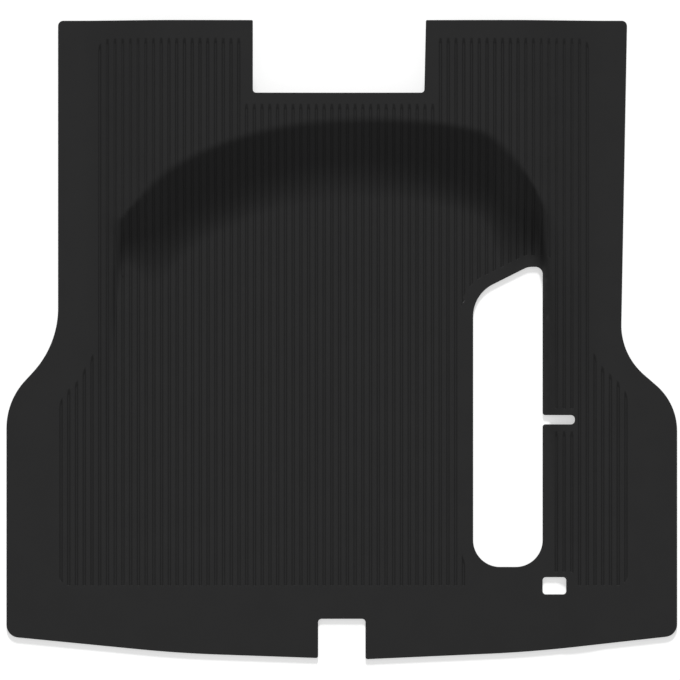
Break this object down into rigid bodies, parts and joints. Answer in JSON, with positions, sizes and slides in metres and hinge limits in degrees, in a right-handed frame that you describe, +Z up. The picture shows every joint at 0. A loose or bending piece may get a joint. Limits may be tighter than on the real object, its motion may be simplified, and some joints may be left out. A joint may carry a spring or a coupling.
{
  "type": "car boot liner",
  "caption": "Moulded rubber liner for a saloon car's boot floor, with a long ribbed field, a raised front shelf, notches for latch and front panel, and a slot beside the spare wheel.",
  "frame": {"origin": "under the middle of the liner's outline, at the level of the floor it rests on", "axes": "+X across the car towards the side with the wheel slot, +Y towards the front of the car, +Z up out of the boot floor"},
  "size_m": [1.274, 1.2128, 0.061],
  "materials": {
    "black_rubber": "moulded matt black rubber"
  },
  "bodies": {
    "root": {"boot_liner": "black_rubber"}
  },
  "joints": []
}
